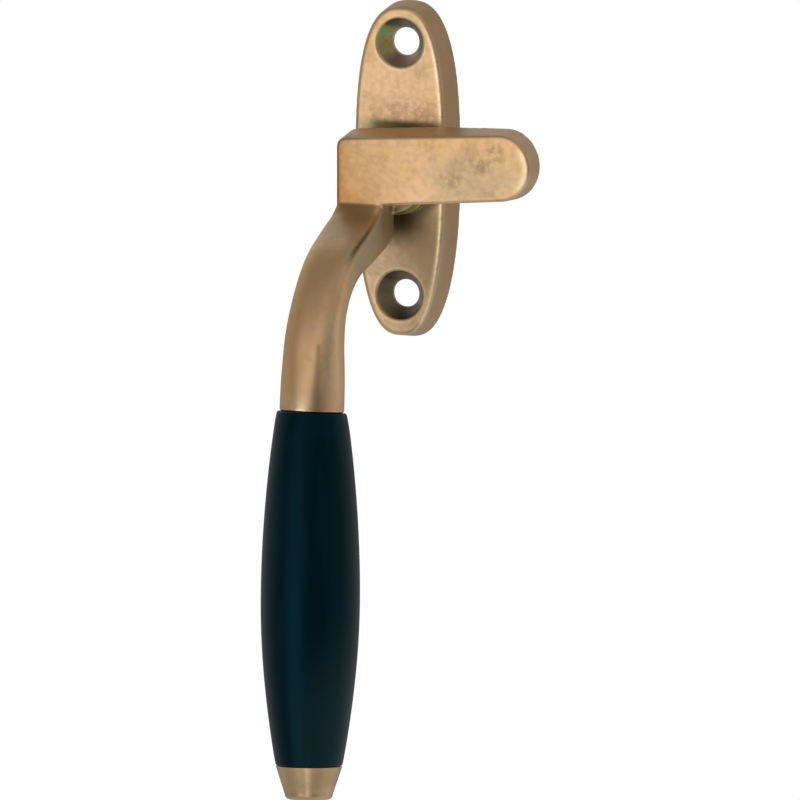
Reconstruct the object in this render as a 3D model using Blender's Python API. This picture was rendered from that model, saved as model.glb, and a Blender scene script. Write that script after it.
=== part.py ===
"""Casement window fastener: a hollow bronze base plate and a turning lever with an ebony grip.

The plate is screwed to the sash with its back on the sash face, which is the plane Y = 0, and the
pivot axis is the Y axis.  The lever's nose reaches over the frame at +X, and the grip hangs down.

Plate and lever are modelled face on: x to the right, y up and z out of the sash face, towards the
room.  The empty sash_face turns that frame upright, so that world X is x, world Z is y and world
-Y is z.  Lengths are in metres.
"""

from math import asin, atan2, copysign, cos, hypot, pi, radians, sin, tan

import bmesh
import bpy
from mathutils import Vector

MM = 0.001
GAP = 0.3 * MM                      # clearance between separate pieces
TURN = 2.0 * pi

# Base plate: z levels are heights above the sash face
UPPER_HOLE = 26.7 * MM              # screw holes above and below the pivot
LOWER_HOLE = -25.7 * MM
PLATE_HALF_HEIGHT = 35.05 * MM      # at the back
PLATE_HALF_WIDTH = 11.0 * MM        # at the pivot, at the back
PLATE_ROUND_POWER = 2.6             # of the outline across; an ellipse has 2
PLATE_UPPER_POWER = 2.9             # of the outline along, above and below the pivot
PLATE_LOWER_POWER = 2.2
PLATE_THICKNESS = 6.8 * MM
PLATE_DRAFT = 1.0 * MM              # how far the walls lean in from back to front
PLATE_EDGE = 0.9 * MM               # radius of the front edge
PLATE_RIM = 1.9 * MM                # wall left around the hollow back
PLATE_HOLLOW = 2.3 * MM             # depth of the hollow back
SCREW_RADIUS = 2.85 * MM
COUNTERSINK_RADIUS = 5.2 * MM
COUNTERSINK_DEPTH = 3.8 * MM

# Hub, from the back of the plate to the back of the lever's head
BOSS_RADIUS = 8.4 * MM              # raised boss on the plate
BOSS_TOP = 7.9 * MM
WELL_RADIUS = 7.4 * MM              # counterbore behind the boss
WELL_FLOOR = 5.2 * MM
FLANGE_RADIUS = 6.9 * MM
FLANGE_THICKNESS = 0.7 * MM
SLEEVE_RADIUS = 5.2 * MM
WASHER_THICKNESS = 0.9 * MM
WASHER_RADIUS = 8.6 * MM
LEVER_BOSS_RADIUS = 8.0 * MM
PIN_RADIUS = 4.0 * MM
PIN_TOP = 16.6 * MM                 # the blind end of the pivot pin, inside the lever's head
PIN_END = 0.3 * MM
GROOVE_DEPTH = 0.8 * MM             # groove of the retaining ring
WAVE_HEIGHT = 0.35 * MM             # half the free travel of the wave washer
WAVE_COUNT = 3
REAR_WASHER_RADIUS = 6.9 * MM
RING_RADIUS = 5.4 * MM
RING_OPENING = radians(50.0)

# Quarter-turn stop: a small pin in the plate's boss runs in an arc groove of the lever's boss
STOP_RADIUS = 0.6 * MM
STOP_REACH = 6.5 * MM               # from the pivot axis
STOP_ANGLE = radians(45.0)
STOP_SINK = 1.6 * MM                # depth in the plate's boss
STOP_RISE = 1.1 * MM                # height above the thrust washer
STOP_SWEEP = radians(90.0)

# Lever head and nose
HEAD_BACK = 12.0 * MM
HEAD_FRONT = 19.6 * MM
NOSE_CENTRE = Vector((26.9, 3.3)) * MM           # the nose rises a little towards its tip
NOSE_RADIUS = 6.85 * MM
HEAD_TOP_CORNER = Vector((-7.0, 6.3)) * MM
HEAD_TOP_RADIUS = 1.9 * MM
HEAD_LOW_CORNER = Vector((-8.2, -5.7)) * MM
HEAD_LOW_RADIUS = 0.7 * MM
HEAD_DRAFT = 0.7 * MM               # growth of the outline from front to back
HEAD_SHIFT = Vector((0.15, 0.5)) * MM   # the draft is larger at the top and at the tip
HEAD_EDGE = 0.6 * MM                # radius of the front edge
WEDGE_START = 10.0 * MM             # the back of the nose is ramped from here to its tip
WEDGE_RISE = 2.8 * MM
WEDGE_END = 34.0 * MM

# Neck: out of the head, round a bend and down to the grip
NECK_X = -4.0 * MM                  # at the root
NECK_END_X = -3.4 * MM              # at the grip
NECK_SLOPE = radians(20.0)          # fall of the first stretch
NECK_BEND_START = Vector((30.0, -14.9)) * MM     # (out, up)
NECK_BEND_RADIUS = 22.0 * MM
NECK_END_SLOPE = radians(83.0)
NECK_END_UP = -44.8 * MM
NECK_ROOT_LENGTH = 18.5 * MM        # straight stretch before the bend, inside and out of the head
NECK_END_RADIUS = 6.6 * MM

# Grip
GRIP_LEAN = radians(2.35)           # sideways, towards the nose's side at its lower end
GRIP_TILT = radians(7.0)            # outwards at its lower end
GRIP_LENGTH = 71.3 * MM
GRIP_TOP_RADIUS = 7.15 * MM
GRIP_BELLY_RADIUS = 10.1 * MM
GRIP_END_RADIUS = 6.85 * MM
GRIP_BELLY = 0.53                   # place of the largest radius along the grip
GRIP_UPPER_FULLNESS = 0.82          # power of the swell; less is fuller
GRIP_LOWER_FULLNESS = 0.9
GRIP_SHOULDER = 0.5 * MM
STUD_RADIUS = 3.0 * MM
STUD_IN_NECK = 9.0 * MM
FERRULE_LENGTH = 6.9 * MM
FERRULE_TOP_RADIUS = 6.75 * MM
FERRULE_END_RADIUS = 4.9 * MM
FERRULE_EDGE = 1.1 * MM
FERRULE_FLOOR = 2.2 * MM            # metal left below the threaded hole
LOCK_WASHER_RADIUS = 5.3 * MM
LOCK_WASHER_THICKNESS = 0.9 * MM

ROUND_STEPS = 32
SMALL_STEPS = 20


def clear_scene():
    for item in list(bpy.data.objects):
        bpy.data.objects.remove(item, do_unlink=True)


def make_material(name, colour, roughness, metallic):
    material = bpy.data.materials.new(name)
    material.use_nodes = True
    shader = material.node_tree.nodes["Principled BSDF"]
    shader.inputs["Base Color"].default_value = (*colour, 1.0)
    shader.inputs["Roughness"].default_value = roughness
    shader.inputs["Metallic"].default_value = metallic
    return material


def make_object(name, mesh_build, material, parent, smooth_angle=radians(35.0)):
    """Turn a bmesh into a named object below a parent."""
    bmesh.ops.recalc_face_normals(mesh_build, faces=mesh_build.faces)
    mesh = bpy.data.meshes.new(name)
    mesh_build.to_mesh(mesh)
    mesh_build.free()
    mesh.shade_smooth()
    mesh.set_sharp_from_angle(angle=smooth_angle)
    mesh.materials.append(material)
    piece = bpy.data.objects.new(name, mesh)
    bpy.context.scene.collection.objects.link(piece)
    piece.parent = parent
    return piece


def make_guide(name, mesh_build, parent):
    """A shape that only cuts or fills another one."""
    guide = make_object(name, mesh_build, None, parent)
    guide.hide_render = True
    guide.display_type = "WIRE"
    return guide


def combine(piece, guide, operation):
    modifier = piece.modifiers.new(guide.name, "BOOLEAN")
    modifier.object = guide
    modifier.operation = operation
    modifier.solver = "EXACT"


def make_empty(name, parent=None):
    empty = bpy.data.objects.new(name, None)
    empty.empty_display_size = 0.01
    bpy.context.scene.collection.objects.link(empty)
    empty.parent = parent
    return empty


def loft(rings):
    """A closed solid through rings of points, all of the same count, with flat ends."""
    build = bmesh.new()
    loops = [[build.verts.new(point) for point in ring] for ring in rings]
    for low, high in zip(loops, loops[1:]):
        for index in range(len(low)):
            following = (index + 1) % len(low)
            build.faces.new((low[index], low[following], high[following], high[index]))
    build.faces.new(loops[0])
    build.faces.new(loops[-1])
    return build


def lathe(profile, steps):
    """Turn a closed (radius, z) profile about the z axis."""
    build = bmesh.new()
    points = [build.verts.new((radius, 0.0, height)) for radius, height in profile]
    edges = [build.edges.new((points[i - 1], points[i])) for i in range(len(points))]
    bmesh.ops.spin(build, geom=points + edges, cent=(0, 0, 0), axis=(0, 0, 1),
                   angle=TURN, steps=steps, use_merge=True)
    bmesh.ops.remove_doubles(build, verts=build.verts, dist=1e-7)
    loose = [edge for edge in build.edges if not edge.link_faces]
    bmesh.ops.delete(build, geom=loose, context="EDGES")
    return build


def turned_bar(profile, steps):
    """A solid bar: rings of (radius, z), closed by flat ends."""
    return loft([[(radius * cos(TURN * i / steps), radius * sin(TURN * i / steps), height)
                  for i in range(steps)] for radius, height in profile])


def ring_profile(inner, outer, low, high):
    return [(inner, low), (outer, low), (outer, high), (inner, high)]


def signed_power(value, power):
    return copysign(abs(value) ** power, value)


def arc(centre, radius, start, end, steps):
    return [Vector((centre[0] + radius * cos(start + (end - start) * i / steps),
                    centre[1] + radius * sin(start + (end - start) * i / steps)))
            for i in range(steps + 1)]


def belt(circles, steps):
    """Convex outline drawn round circles (centre, radius) taken counter-clockwise."""
    normals = []
    for (centre, radius), (target, target_radius) in zip(circles, circles[1:] + circles[:1]):
        run = target - centre
        normals.append(atan2(run.y, run.x) - pi / 2
                       + asin((radius - target_radius) / hypot(run.x, run.y)))
    outline = []
    for index, (centre, radius) in enumerate(circles):
        start = normals[index - 1]
        end = normals[index]
        while end < start:
            end += TURN
        outline += arc(centre, radius, start, end, steps[index])
    return outline


def plate_outline(inset, steps=64):
    """Long rounded outline, slimmer towards its lower end."""
    outline = []
    for i in range(steps):
        angle = TURN * i / steps
        lengthwise = PLATE_UPPER_POWER if sin(angle) > 0 else PLATE_LOWER_POWER
        outline.append(Vector((
            (PLATE_HALF_WIDTH - inset) * signed_power(cos(angle), 2 / PLATE_ROUND_POWER),
            (PLATE_HALF_HEIGHT - inset) * signed_power(sin(angle), 2 / lengthwise))))
    return outline


def edge_levels(top, radius, steps):
    """(z, inset) pairs round a front edge, from the wall to the front face."""
    return [(top - radius + radius * sin(pi / 2 * i / steps),
             radius - radius * cos(pi / 2 * i / steps)) for i in range(steps + 1)]


def raise_ring(outline, height):
    return [(point.x, point.y, height) for point in outline]


def build_plate(parent):
    bronze = make_material("cast_bronze_plate", (0.56, 0.36, 0.19), 0.42, 1.0)
    rings = [raise_ring(plate_outline(0.0), 0.0)]
    wall_top = PLATE_DRAFT * (1.0 - PLATE_EDGE / PLATE_THICKNESS)
    for height, inset in edge_levels(PLATE_THICKNESS, PLATE_EDGE, 3):
        rings.append(raise_ring(plate_outline(wall_top + inset), height))
    plate = make_object("base_plate", loft(rings), bronze, parent)

    boss = turned_bar([(BOSS_RADIUS, PLATE_THICKNESS - MM), (BOSS_RADIUS, BOSS_TOP)], ROUND_STEPS)
    combine(plate, make_guide("boss_shape", boss, parent), "UNION")

    hollow = loft([raise_ring(plate_outline(PLATE_RIM), -MM),
                   raise_ring(plate_outline(PLATE_RIM), PLATE_HOLLOW)])
    combine(plate, make_guide("hollow_cut", hollow, parent), "DIFFERENCE")

    well = turned_bar([(WELL_RADIUS, -MM), (WELL_RADIUS, WELL_FLOOR)], ROUND_STEPS)
    combine(plate, make_guide("well_cut", well, parent), "DIFFERENCE")

    bore = turned_bar([(SLEEVE_RADIUS + GAP, -MM), (SLEEVE_RADIUS + GAP, BOSS_TOP + MM)], ROUND_STEPS)
    combine(plate, make_guide("bore_cut", bore, parent), "DIFFERENCE")

    for name, height in (("upper", UPPER_HOLE), ("lower", LOWER_HOLE)):
        cone_foot = PLATE_THICKNESS - COUNTERSINK_DEPTH
        flare = (COUNTERSINK_RADIUS - SCREW_RADIUS) / COUNTERSINK_DEPTH
        screw = turned_bar([(SCREW_RADIUS, -MM), (SCREW_RADIUS, cone_foot),
                            (COUNTERSINK_RADIUS + flare * MM, PLATE_THICKNESS + MM)], ROUND_STEPS)
        cut = make_guide(name + "_screw_cut", screw, parent)
        cut.location = (0.0, height, 0.0)
        combine(plate, cut, "DIFFERENCE")

    seat = turned_bar([(STOP_RADIUS + GAP, BOSS_TOP - STOP_SINK - GAP),
                       (STOP_RADIUS + GAP, BOSS_TOP + MM)], SMALL_STEPS)
    cut = make_guide("stop_seat_cut", seat, parent)
    cut.location = (STOP_REACH * cos(STOP_ANGLE), STOP_REACH * sin(STOP_ANGLE), 0.0)
    combine(plate, cut, "DIFFERENCE")


def build_bushing(parent):
    """Flanged sleeve that lines the plate's bore, pushed in from the back."""
    brass = make_material("bearing_brass", (0.72, 0.53, 0.22), 0.35, 1.0)
    inner = PIN_RADIUS + GAP
    flange_top = WELL_FLOOR - GAP
    flange_low = flange_top - FLANGE_THICKNESS
    profile = [(inner, flange_low), (FLANGE_RADIUS, flange_low), (FLANGE_RADIUS, flange_top),
               (SLEEVE_RADIUS, flange_top), (SLEEVE_RADIUS, BOSS_TOP), (inner, BOSS_TOP)]
    make_object("pivot_bushing", lathe(profile, ROUND_STEPS), brass, parent)


def build_stop_pin(parent):
    steel = make_material("stop_steel", (0.55, 0.55, 0.56), 0.3, 1.0)
    low = BOSS_TOP - STOP_SINK
    high = BOSS_TOP + GAP + WASHER_THICKNESS + STOP_RISE
    pin = make_object("stop_pin", turned_bar([(STOP_RADIUS, low), (STOP_RADIUS, high)], 12),
                      steel, parent)
    pin.location = (STOP_REACH * cos(STOP_ANGLE), STOP_REACH * sin(STOP_ANGLE), 0.0)


def build_thrust_washer(parent):
    """Passivated washer between the two bosses, kept from turning by the stop pin."""
    zinc = make_material("yellow_passivated_steel", (0.55, 0.52, 0.22), 0.35, 1.0)
    low = BOSS_TOP + GAP
    high = low + WASHER_THICKNESS
    washer = make_object("thrust_washer",
                         lathe(ring_profile(PIN_RADIUS + GAP, WASHER_RADIUS, low, high), ROUND_STEPS),
                         zinc, parent)
    hole = turned_bar([(STOP_RADIUS + GAP, low - MM), (STOP_RADIUS + GAP, high + MM)], SMALL_STEPS)
    cut = make_guide("stop_pass_cut", hole, parent)
    cut.location = (STOP_REACH * cos(STOP_ANGLE), STOP_REACH * sin(STOP_ANGLE), 0.0)
    combine(washer, cut, "DIFFERENCE")


def rear_stack():
    """z levels (low, high) of the wave washer, the rear washer and the retaining ring."""
    flange_low = WELL_FLOOR - GAP - FLANGE_THICKNESS
    wave_thickness = 0.4 * MM
    wave_high = flange_low - GAP
    wave_low = wave_high - wave_thickness - 2 * WAVE_HEIGHT
    washer_high = wave_low - 0.1 * MM
    washer_low = washer_high - 0.7 * MM
    ring_high = washer_low - 0.1 * MM
    ring_low = ring_high - 0.5 * MM
    return (wave_low, wave_high), (washer_low, washer_high), (ring_low, ring_high)


def build_wave_washer(parent):
    """Spring washer behind the plate: it presses the bosses together, so the lever stays put."""
    spring = make_material("spring_steel", (0.42, 0.42, 0.43), 0.3, 1.0)
    (low, high), _, _ = rear_stack()
    thickness = high - low - 2 * WAVE_HEIGHT
    inner = PIN_RADIUS + GAP
    outer = FLANGE_RADIUS - 0.3 * MM
    steps = 36
    build = bmesh.new()
    loops = []
    for i in range(steps):
        angle = TURN * i / steps
        middle = (low + high) / 2 + WAVE_HEIGHT * cos(WAVE_COUNT * angle)
        corners = ((inner, -0.5), (outer, -0.5), (outer, 0.5), (inner, 0.5))
        loops.append([build.verts.new((radius * cos(angle), radius * sin(angle),
                                       middle + side * thickness)) for radius, side in corners])
    for i in range(steps):
        here, there = loops[i], loops[(i + 1) % steps]
        for k in range(4):
            following = (k + 1) % 4
            build.faces.new((here[k], here[following], there[following], there[k]))
    make_object("wave_washer", build, spring, parent)


def build_rear_washer(parent):
    zinc = make_material("rear_washer_steel", (0.6, 0.58, 0.5), 0.35, 1.0)
    _, (low, high), _ = rear_stack()
    profile = ring_profile(PIN_RADIUS + GAP, REAR_WASHER_RADIUS, low, high)
    make_object("rear_washer", lathe(profile, ROUND_STEPS), zinc, parent)


def build_retaining_ring(parent):
    """Open snap ring in the groove at the pin's rear end."""
    spring = make_material("ring_steel", (0.2, 0.2, 0.21), 0.4, 1.0)
    _, _, (low, high) = rear_stack()
    inner = PIN_RADIUS - GROOVE_DEPTH + GAP
    outline = arc((0, 0), RING_RADIUS, RING_OPENING / 2, TURN - RING_OPENING / 2, 26)
    outline += arc((0, 0), inner, TURN - RING_OPENING / 2, RING_OPENING / 2, 26)
    make_object("retaining_ring", loft([raise_ring(outline, low), raise_ring(outline, high)]),
                spring, parent)


def build_pivot_pin(parent):
    """Plain pin, pressed into the lever's head from behind, grooved for the retaining ring."""
    steel = make_material("pin_steel", (0.62, 0.62, 0.63), 0.25, 1.0)
    _, _, (ring_low, ring_high) = rear_stack()
    neck = PIN_RADIUS - GROOVE_DEPTH
    side = 0.05 * MM
    chamfer = 0.2 * MM
    profile = [(PIN_RADIUS - chamfer, PIN_END), (PIN_RADIUS, PIN_END + chamfer),
               (PIN_RADIUS, ring_low - side), (neck, ring_low - side), (neck, ring_high + side),
               (PIN_RADIUS, ring_high + side), (PIN_RADIUS, PIN_TOP - chamfer),
               (PIN_RADIUS - chamfer, PIN_TOP)]
    make_object("pivot_pin", turned_bar(profile, ROUND_STEPS), steel, parent)


def head_outline(grow, shift):
    circles = [(HEAD_LOW_CORNER + shift, HEAD_LOW_RADIUS + grow),
               (NOSE_CENTRE + shift, NOSE_RADIUS + grow),
               (HEAD_TOP_CORNER + shift, HEAD_TOP_RADIUS + grow)]
    return belt(circles, (3, 16, 5))


def neck_path(distance):
    """Centre (out, up) and fall angle of the neck, at a distance from its root."""
    bend = NECK_END_SLOPE - NECK_SLOPE
    bend_length = bend * NECK_BEND_RADIUS
    direction = Vector((cos(NECK_SLOPE), -sin(NECK_SLOPE)))
    if distance <= NECK_ROOT_LENGTH:
        return NECK_BEND_START - direction * (NECK_ROOT_LENGTH - distance), NECK_SLOPE
    centre = NECK_BEND_START - Vector((sin(NECK_SLOPE), cos(NECK_SLOPE))) * NECK_BEND_RADIUS
    turned = min(distance - NECK_ROOT_LENGTH, bend_length) / NECK_BEND_RADIUS
    slope = NECK_SLOPE + turned
    place = centre + Vector((sin(slope), cos(slope))) * NECK_BEND_RADIUS
    beyond = max(distance - NECK_ROOT_LENGTH - bend_length, 0.0)
    return place + Vector((cos(slope), -sin(slope))) * beyond, slope


def neck_length():
    bend_length = (NECK_END_SLOPE - NECK_SLOPE) * NECK_BEND_RADIUS
    foot, slope = neck_path(NECK_ROOT_LENGTH + bend_length)
    return NECK_ROOT_LENGTH + bend_length + (foot.y - NECK_END_UP) / sin(slope)


# Sections along the neck: share of its length, half width, outer and inner half thickness, and the
# power of the rounded section, which is a circle at 2
NECK_SECTIONS = (
    (0.00, 5.0 * MM, 6.5 * MM, 5.0 * MM, 8.0),
    (0.09, 5.15 * MM, 5.5 * MM, 4.9 * MM, 8.0),
    (0.15, 5.3 * MM, 4.5 * MM, 4.7 * MM, 7.0),
    (0.22, 5.4 * MM, 4.3 * MM, 4.5 * MM, 6.0),
    (0.38, 5.5 * MM, 4.0 * MM, 4.0 * MM, 4.0),
    (0.58, 5.6 * MM, 3.8 * MM, 3.9 * MM, 3.0),
    (0.74, 6.05 * MM, 4.5 * MM, 4.6 * MM, 2.6),
    (0.88, 6.5 * MM, 5.6 * MM, 5.6 * MM, 2.2),
    (1.00, NECK_END_RADIUS, NECK_END_RADIUS, NECK_END_RADIUS, 2.0),
)


def neck_section(share):
    """Section sizes at a share of the neck's length, in proportion between the listed ones."""
    for low, high in zip(NECK_SECTIONS, NECK_SECTIONS[1:]):
        if share <= high[0]:
            part = (share - low[0]) / (high[0] - low[0])
            return [a + (b - a) * part for a, b in zip(low[1:], high[1:])]
    return NECK_SECTIONS[-1][1:]


def neck_ring(distance, length, steps, shrink=0.0):
    (out, up), slope = neck_path(distance)
    middle = NECK_X + (NECK_END_X - NECK_X) * distance / length
    half_width, outer, inner, power = neck_section(distance / length)
    ring = []
    for i in range(steps):
        angle = TURN * i / steps
        across = signed_power(cos(angle), 2 / power)
        through = signed_power(sin(angle), 2 / power)
        across *= half_width - shrink
        through *= (outer if through > 0 else inner) - shrink
        ring.append((middle + across, up + through * cos(slope), out + through * sin(slope)))
    return ring


def build_neck(parent):
    length = neck_length()
    rim = 0.4 * MM
    stations = 16
    rings = [neck_ring((length - rim) * i / stations, length, 24) for i in range(stations + 1)]
    root_plane = HEAD_BACK + 0.1 * MM
    rings[0] = [(x, y - (root_plane - z) * tan(NECK_SLOPE), root_plane) for x, y, z in rings[0]]
    rings.append(neck_ring(length, length, 24, shrink=rim))
    return make_guide("neck_shape", loft(rings), parent)


def grip_frame(lever):
    """Empty at the neck's end, with its z axis pointing down the grip."""
    (out, up), _ = neck_path(neck_length())
    direction = Vector((sin(GRIP_LEAN) * cos(GRIP_TILT), -cos(GRIP_LEAN) * cos(GRIP_TILT),
                        sin(GRIP_TILT)))
    frame = make_empty("grip_axis", lever)
    frame.location = (NECK_END_X, up, out)
    frame.rotation_mode = "QUATERNION"
    frame.rotation_quaternion = Vector((0, 0, 1)).rotation_difference(direction)
    return frame


def build_lever(parent, grip):
    """Boss, head with the nose, and neck: one casting."""
    bronze = make_material("cast_bronze_lever", (0.60, 0.38, 0.19), 0.4, 1.0)
    rings = [raise_ring(head_outline(HEAD_DRAFT, HEAD_SHIFT), HEAD_BACK)]
    still = Vector((0.0, 0.0))
    for height, inset in edge_levels(HEAD_FRONT, HEAD_EDGE, 2):
        rings.append(raise_ring(head_outline(-inset, still), height))
    lever = make_object("lever_arm", loft(rings), bronze, parent)

    combine(lever, build_neck(parent), "UNION")

    boss_low = BOSS_TOP + 2 * GAP + WASHER_THICKNESS
    boss = turned_bar([(LEVER_BOSS_RADIUS, boss_low), (LEVER_BOSS_RADIUS, HEAD_BACK + MM)], ROUND_STEPS)
    combine(lever, make_guide("lever_boss_shape", boss, parent), "UNION")

    slope = atan2(WEDGE_RISE, WEDGE_END - WEDGE_START)
    reach = 40.0 * MM
    half = 15.0 * MM
    ramp = loft([[(WEDGE_START, side * half, HEAD_BACK - 0.01 * MM),
                  (WEDGE_START + reach, side * half, HEAD_BACK + reach * tan(slope)),
                  (WEDGE_START + reach, side * half, HEAD_BACK - 5 * MM),
                  (WEDGE_START, side * half, HEAD_BACK - 5 * MM)] for side in (-1, 1)])
    combine(lever, make_guide("nose_ramp_cut", ramp, parent), "DIFFERENCE")

    bore = turned_bar([(PIN_RADIUS + GAP, boss_low - MM), (PIN_RADIUS + GAP, PIN_TOP + GAP)],
                      ROUND_STEPS)
    combine(lever, make_guide("pin_bore_cut", bore, parent), "DIFFERENCE")

    build_stop_groove(lever, boss_low, parent)

    tapped = turned_bar([(STUD_RADIUS + GAP, -STUD_IN_NECK - GAP), (STUD_RADIUS + GAP, MM)],
                        SMALL_STEPS)
    combine(lever, make_guide("stud_hole_cut", tapped, grip), "DIFFERENCE")


def build_stop_groove(lever, boss_low, parent):
    """Arc groove in the back of the lever's boss, a quarter turn long."""
    half = STOP_RADIUS + GAP
    start = STOP_ANGLE
    end = start + STOP_SWEEP
    outline = arc((0, 0), STOP_REACH + half, start, end, 14)
    outline += arc((STOP_REACH * cos(end), STOP_REACH * sin(end)), half, end, end + pi, 6)[1:-1]
    outline += arc((0, 0), STOP_REACH - half, end, start, 14)
    outline += arc((STOP_REACH * cos(start), STOP_REACH * sin(start)), half,
                   start + pi, start + TURN, 6)[1:-1]
    groove = loft([raise_ring(outline, boss_low - MM),
                   raise_ring(outline, boss_low - GAP + STOP_RISE + GAP)])
    combine(lever, make_guide("stop_groove_cut", groove, parent), "DIFFERENCE")


def grip_radius(share):
    """Barrel outline: a fuller curve from the top to the belly, and a longer one to the end."""
    if share < GRIP_BELLY:
        swell = sin(pi / 2 * share / GRIP_BELLY) ** GRIP_UPPER_FULLNESS
        return GRIP_TOP_RADIUS + (GRIP_BELLY_RADIUS - GRIP_TOP_RADIUS) * swell
    swell = cos(pi / 2 * (share - GRIP_BELLY) / (1.0 - GRIP_BELLY)) ** GRIP_LOWER_FULLNESS
    return GRIP_END_RADIUS + (GRIP_BELLY_RADIUS - GRIP_END_RADIUS) * swell


def build_grip(parent):
    ebony = make_material("ebony", (0.006, 0.014, 0.02), 0.35, 0.0)
    inner = STUD_RADIUS + GAP
    stations = 14
    profile = [(inner, GAP), (GRIP_TOP_RADIUS - GRIP_SHOULDER, GAP)]
    for i in range(stations + 1):
        height = GAP + GRIP_SHOULDER + (GRIP_LENGTH - 2 * GRIP_SHOULDER) * i / stations
        profile.append((grip_radius(i / stations), height))
    profile += [(GRIP_END_RADIUS - GRIP_SHOULDER, GAP + GRIP_LENGTH), (inner, GAP + GRIP_LENGTH)]
    make_object("ebony_grip", lathe(profile, ROUND_STEPS), ebony, parent)


def build_stud(parent):
    steel = make_material("stud_steel", (0.6, 0.6, 0.6), 0.3, 1.0)
    end = GRIP_LENGTH + 2 * GAP + FERRULE_LENGTH - FERRULE_FLOOR - GAP
    chamfer = 0.4 * MM
    profile = [(STUD_RADIUS - chamfer, -STUD_IN_NECK), (STUD_RADIUS, -STUD_IN_NECK + chamfer),
               (STUD_RADIUS, end - chamfer), (STUD_RADIUS - chamfer, end)]
    make_object("grip_stud", turned_bar(profile, SMALL_STEPS), steel, parent)


def build_lock_washer(parent):
    """Spring washer under the end ferrule: it keeps the wood tight as it dries."""
    spring = make_material("lock_washer_steel", (0.5, 0.5, 0.5), 0.35, 1.0)
    low = GRIP_LENGTH + 2 * GAP
    profile = ring_profile(STUD_RADIUS + GAP, LOCK_WASHER_RADIUS, low, low + LOCK_WASHER_THICKNESS)
    make_object("grip_spring_washer", lathe(profile, SMALL_STEPS), spring, parent)


def build_ferrule(parent):
    """Tapered bronze nut that closes the grip: threaded blind hole, recess for the washer."""
    bronze = make_material("ferrule_bronze", (0.50, 0.36, 0.2), 0.4, 1.0)
    top = GRIP_LENGTH + 2 * GAP
    end = top + FERRULE_LENGTH
    inner = STUD_RADIUS + GAP
    recess = LOCK_WASHER_RADIUS + GAP
    recess_end = top + LOCK_WASHER_THICKNESS + GAP
    hole_end = end - FERRULE_FLOOR
    profile = [(FERRULE_TOP_RADIUS, top), (FERRULE_END_RADIUS, end - FERRULE_EDGE),
               (FERRULE_END_RADIUS - 0.3 * FERRULE_EDGE, end - 0.3 * FERRULE_EDGE),
               (FERRULE_END_RADIUS - FERRULE_EDGE, end)]
    ferrule = make_object("end_ferrule", turned_bar(profile, ROUND_STEPS), bronze, parent)
    hollow = turned_bar([(recess, top - MM), (recess, recess_end), (inner, recess_end),
                         (inner, hole_end)], SMALL_STEPS)
    combine(ferrule, make_guide("ferrule_cut", hollow, parent), "DIFFERENCE")


def build():
    clear_scene()
    face = make_empty("sash_face")
    face.rotation_euler = (pi / 2, 0.0, 0.0)
    build_plate(face)
    build_bushing(face)
    build_stop_pin(face)
    build_thrust_washer(face)
    build_wave_washer(face)

    lever = make_empty("lever_axis", face)
    grip = grip_frame(lever)
    build_pivot_pin(lever)
    build_rear_washer(lever)
    build_retaining_ring(lever)
    build_lever(lever, grip)
    build_stud(grip)
    build_grip(grip)
    build_lock_washer(grip)
    build_ferrule(grip)


build()
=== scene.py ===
"""Looks of the casement window fastener: fine meshes, cast bronze, ebony and the studio.

Every piece stands in for one CAD node.  Plate and lever are shaped face on, as in the CAD: x to the
right, y up and z out of the sash face, and UPRIGHT turns them upright.  Lengths are in metres.
"""

from math import asin, atan2, copysign, cos, exp, hypot, pi, radians, sin, tan

import bmesh
import bpy
from mathutils import Matrix, Vector


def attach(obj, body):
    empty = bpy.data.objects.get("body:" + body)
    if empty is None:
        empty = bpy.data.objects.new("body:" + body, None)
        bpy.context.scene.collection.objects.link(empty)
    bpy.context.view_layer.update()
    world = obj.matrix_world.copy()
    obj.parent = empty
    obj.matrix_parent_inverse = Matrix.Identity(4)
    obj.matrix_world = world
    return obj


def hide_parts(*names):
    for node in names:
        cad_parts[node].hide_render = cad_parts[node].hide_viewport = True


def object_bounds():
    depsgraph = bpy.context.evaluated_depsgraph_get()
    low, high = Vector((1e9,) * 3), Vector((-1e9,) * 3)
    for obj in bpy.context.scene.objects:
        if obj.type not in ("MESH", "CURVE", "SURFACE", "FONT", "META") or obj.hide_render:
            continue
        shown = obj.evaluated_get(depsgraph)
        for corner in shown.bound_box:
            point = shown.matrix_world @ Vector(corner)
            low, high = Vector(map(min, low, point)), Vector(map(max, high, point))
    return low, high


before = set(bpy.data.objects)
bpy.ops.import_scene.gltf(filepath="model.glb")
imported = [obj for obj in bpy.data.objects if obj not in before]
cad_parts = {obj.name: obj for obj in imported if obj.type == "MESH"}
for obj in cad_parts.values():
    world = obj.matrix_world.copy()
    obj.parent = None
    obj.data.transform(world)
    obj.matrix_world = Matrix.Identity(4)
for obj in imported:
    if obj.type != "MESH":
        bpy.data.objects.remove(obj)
CAD_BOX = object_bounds()

MM = 0.001
GAP = 0.3 * MM
TURN = 2.0 * pi
UPRIGHT = Matrix.Rotation(pi / 2, 4, "X")

# Base plate
UPPER_HOLE = 26.7 * MM
LOWER_HOLE = -25.7 * MM
PLATE_HALF_HEIGHT = 35.05 * MM
PLATE_HALF_WIDTH = 11.0 * MM
PLATE_ROUND_POWER = 2.6
PLATE_UPPER_POWER = 2.9
PLATE_LOWER_POWER = 2.2
PLATE_THICKNESS = 6.8 * MM
PLATE_DRAFT = 1.0 * MM
PLATE_EDGE = 0.9 * MM
PLATE_RIM = 1.9 * MM
PLATE_HOLLOW = 2.3 * MM
SCREW_RADIUS = 2.85 * MM
COUNTERSINK_RADIUS = 5.2 * MM
COUNTERSINK_DEPTH = 3.8 * MM

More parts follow.
